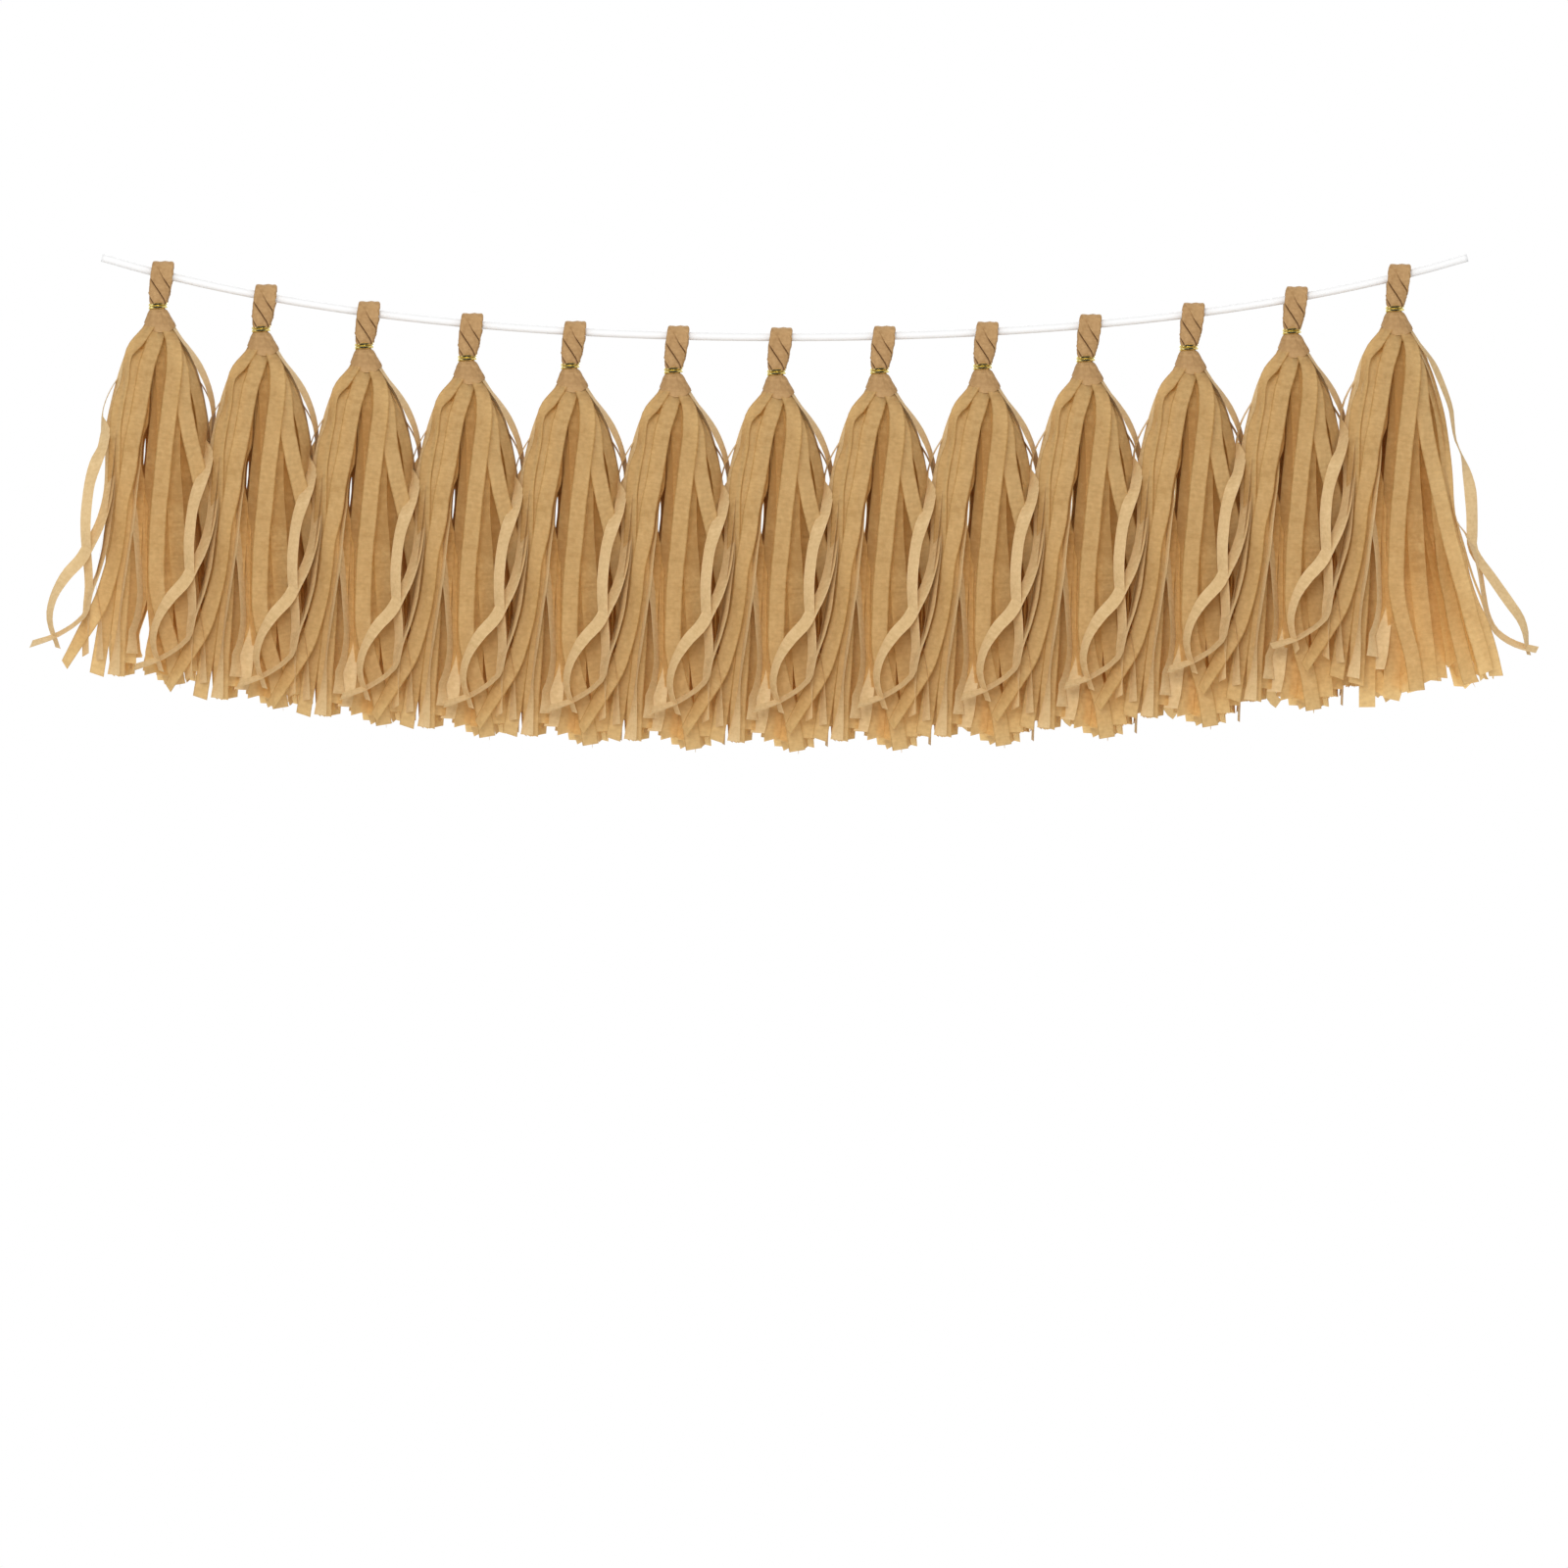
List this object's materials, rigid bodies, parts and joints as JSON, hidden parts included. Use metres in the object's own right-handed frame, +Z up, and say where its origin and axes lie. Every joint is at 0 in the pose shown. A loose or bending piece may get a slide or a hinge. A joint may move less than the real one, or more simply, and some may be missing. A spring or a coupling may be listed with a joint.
{
  "type": "tissue paper tassel garland",
  "caption": "Tan tissue paper tassels with twisted heads bound in gold wire, hung in a row from a sagging white cord.",
  "frame": {"origin": "centre of the cord's left cut end, seen from the front", "axes": "+X along the row to the cord's right end, +Z up, -Y to the front"},
  "size_m": [0.9148, 0.0604, 0.3101],
  "materials": {
    "tan_tissue": "matte",
    "gold_wire": "polished",
    "white_cord": "matte"
  },
  "bodies": {
    "cord": {"hanging_cord": "white_cord"},
    "tassel_01": {"tassel_01_loop": "tan_tissue", "tassel_01_tie": "gold_wire", "tassel_01_front_fringe": "tan_tissue", "tassel_01_back_fringe": "tan_tissue"},
    "tassel_02": {"tassel_02_loop": "tan_tissue", "tassel_02_tie": "gold_wire", "tassel_02_front_fringe": "tan_tissue", "tassel_02_back_fringe": "tan_tissue"},
    "tassel_03": {"tassel_03_loop": "tan_tissue", "tassel_03_tie": "gold_wire", "tassel_03_front_fringe": "tan_tissue", "tassel_03_back_fringe": "tan_tissue"},
    "tassel_04": {"tassel_04_loop": "tan_tissue", "tassel_04_tie": "gold_wire", "tassel_04_front_fringe": "tan_tissue", "tassel_04_back_fringe": "tan_tissue"},
    "tassel_05": {"tassel_05_loop": "tan_tissue", "tassel_05_tie": "gold_wire", "tassel_05_front_fringe": "tan_tissue", "tassel_05_back_fringe": "tan_tissue"},
    "tassel_06": {"tassel_06_loop": "tan_tissue", "tassel_06_tie": "gold_wire", "tassel_06_front_fringe": "tan_tissue", "tassel_06_back_fringe": "tan_tissue"},
    "tassel_07": {"tassel_07_loop": "tan_tissue", "tassel_07_tie": "gold_wire", "tassel_07_front_fringe": "tan_tissue", "tassel_07_back_fringe": "tan_tissue"},
    "tassel_08": {"tassel_08_loop": "tan_tissue", "tassel_08_tie": "gold_wire", "tassel_08_front_fringe": "tan_tissue", "tassel_08_back_fringe": "tan_tissue"},
    "tassel_09": {"tassel_09_loop": "tan_tissue", "tassel_09_tie": "gold_wire", "tassel_09_front_fringe": "tan_tissue", "tassel_09_back_fringe": "tan_tissue"},
    "tassel_10": {"tassel_10_loop": "tan_tissue", "tassel_10_tie": "gold_wire", "tassel_10_front_fringe": "tan_tissue", "tassel_10_back_fringe": "tan_tissue"},
    "tassel_11": {"tassel_11_loop": "tan_tissue", "tassel_11_tie": "gold_wire", "tassel_11_front_fringe": "tan_tissue", "tassel_11_back_fringe": "tan_tissue"},
    "tassel_12": {"tassel_12_loop": "tan_tissue", "tassel_12_tie": "gold_wire", "tassel_12_front_fringe": "tan_tissue", "tassel_12_back_fringe": "tan_tissue"},
    "tassel_13": {"tassel_13_loop": "tan_tissue", "tassel_13_tie": "gold_wire", "tassel_13_front_fringe": "tan_tissue", "tassel_13_back_fringe": "tan_tissue"}
  },
  "joints": [
    {"name": "tassel_01_swing", "type": "hinge", "parent": "cord", "child": "tassel_01", "pos_m": [0.036, 0, -0.00983], "axis": [1, 0, 0], "range_deg": [-90, 90]},
    {"name": "tassel_02_swing", "type": "hinge", "parent": "cord", "child": "tassel_02", "pos_m": [0.0991, 0, -0.02401], "axis": [1, 0, 0], "range_deg": [-90, 90]},
    {"name": "tassel_03_swing", "type": "hinge", "parent": "cord", "child": "tassel_03", "pos_m": [0.1622, 0, -0.03436], "axis": [1, 0, 0], "range_deg": [-90, 90]},
    {"name": "tassel_04_swing", "type": "hinge", "parent": "cord", "child": "tassel_04", "pos_m": [0.2253, 0, -0.04166], "axis": [1, 0, 0], "range_deg": [-90, 90]},
    {"name": "tassel_05_swing", "type": "hinge", "parent": "cord", "child": "tassel_05", "pos_m": [0.2884, 0, -0.0465], "axis": [1, 0, 0], "range_deg": [-90, 90]},
    {"name": "tassel_06_swing", "type": "hinge", "parent": "cord", "child": "tassel_06", "pos_m": [0.3515, 0, -0.04933], "axis": [1, 0, 0], "range_deg": [-90, 90]},
    {"name": "tassel_07_swing", "type": "hinge", "parent": "cord", "child": "tassel_07", "pos_m": [0.4146, 0, -0.0504], "axis": [1, 0, 0], "range_deg": [-90, 90]},
    {"name": "tassel_08_swing", "type": "hinge", "parent": "cord", "child": "tassel_08", "pos_m": [0.4777, 0, -0.04952], "axis": [1, 0, 0], "range_deg": [-90, 90]},
    {"name": "tassel_09_swing", "type": "hinge", "parent": "cord", "child": "tassel_09", "pos_m": [0.5408, 0, -0.04689], "axis": [1, 0, 0], "range_deg": [-90, 90]},
    {"name": "tassel_10_swing", "type": "hinge", "parent": "cord", "child": "tassel_10", "pos_m": [0.6039, 0, -0.04229], "axis": [1, 0, 0], "range_deg": [-90, 90]},
    {"name": "tassel_11_swing", "type": "hinge", "parent": "cord", "child": "tassel_11", "pos_m": [0.667, 0, -0.03528], "axis": [1, 0, 0], "range_deg": [-90, 90]},
    {"name": "tassel_12_swing", "type": "hinge", "parent": "cord", "child": "tassel_12", "pos_m": [0.7301, 0, -0.02529], "axis": [1, 0, 0], "range_deg": [-90, 90]},
    {"name": "tassel_13_swing", "type": "hinge", "parent": "cord", "child": "tassel_13", "pos_m": [0.7932, 0, -0.01157], "axis": [1, 0, 0], "range_deg": [-90, 90]}
  ]
}
